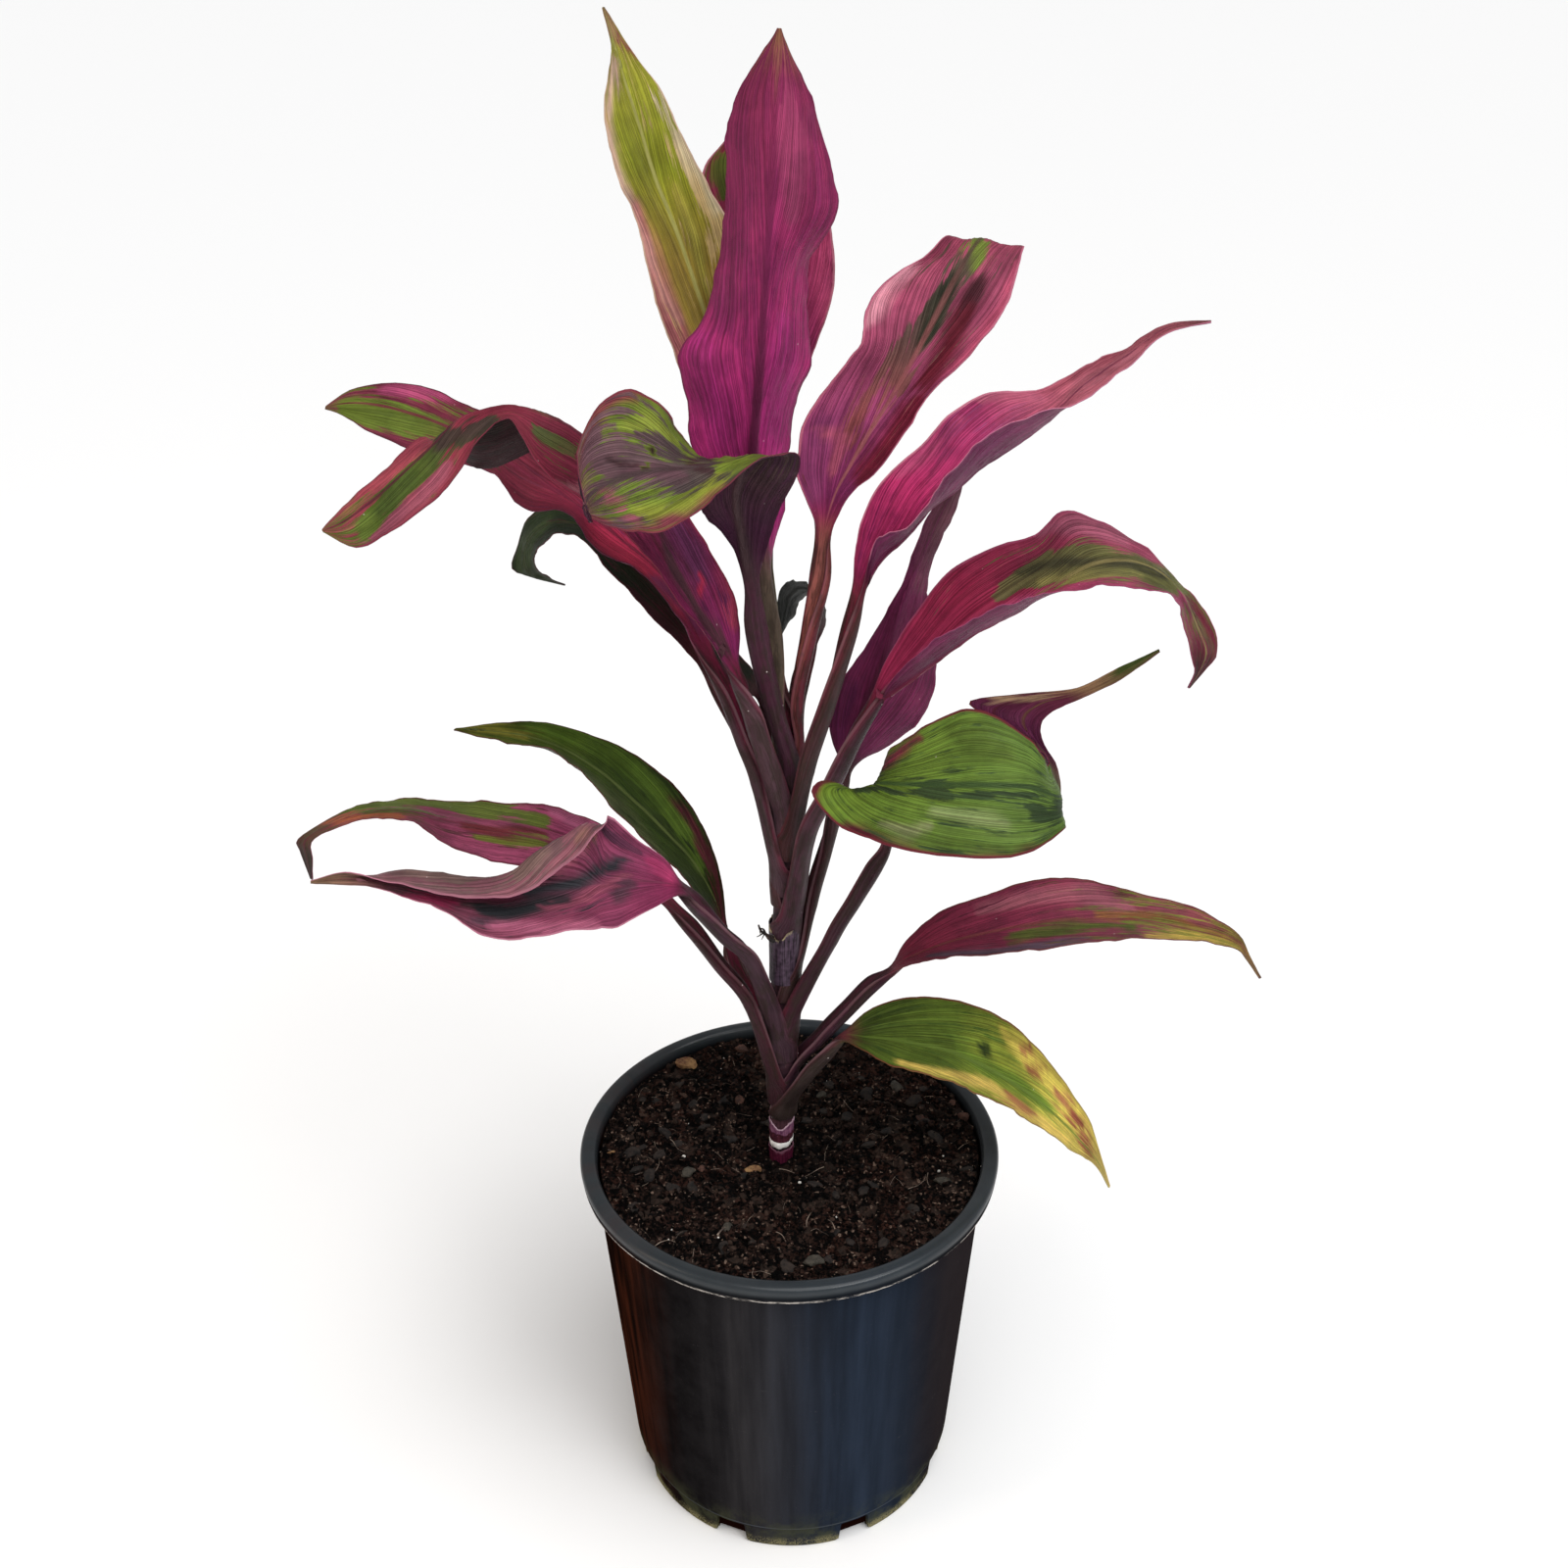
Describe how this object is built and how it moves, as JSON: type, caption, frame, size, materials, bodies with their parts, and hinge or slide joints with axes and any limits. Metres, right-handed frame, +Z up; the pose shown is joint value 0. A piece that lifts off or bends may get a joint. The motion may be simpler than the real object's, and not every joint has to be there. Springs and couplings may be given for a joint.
{
  "type": "potted ti plant",
  "caption": "Ti plant with magenta, pink and green strap-shaped leaves on an upright cane, growing in a black nursery pot.",
  "frame": {"origin": "on the pot's axis at the level of its foot", "axes": "+Z up along the stem, +X to the plant's right as seen from the front, -Y towards the front"},
  "size_m": [0.4186, 0.2218, 0.6864],
  "materials": {
    "pot_plastic": "satin",
    "potting_mix": "matte",
    "stem_bark": "matte",
    "leaf_pale": "satin",
    "leaf_magenta": "satin",
    "leaf_pink": "satin",
    "leaf_green": "satin",
    "leaf_dark": "satin"
  },
  "bodies": {
    "root": {"pot": "pot_plastic", "soil": "potting_mix", "stem": "stem_bark", "leaf_pale_top": "leaf_pale", "leaf_magenta_top": "leaf_magenta", "leaf_behind_top": "leaf_pink", "leaf_right_upright": "leaf_pink", "leaf_right_wavy": "leaf_magenta", "leaf_front_arched": "leaf_green", "leaf_left_arched": "leaf_pink", "leaf_left_behind": "leaf_pink", "leaf_left_dark": "leaf_dark", "leaf_back_left": "leaf_dark", "leaf_back_small": "leaf_dark", "leaf_right_arched": "leaf_pink", "leaf_right_behind": "leaf_magenta", "leaf_right_green": "leaf_green", "leaf_left_green": "leaf_green", "leaf_left_long": "leaf_pink", "leaf_left_twisted": "leaf_pink", "leaf_right_low": "leaf_pink", "leaf_right_lowest": "leaf_green"}
  },
  "joints": []
}
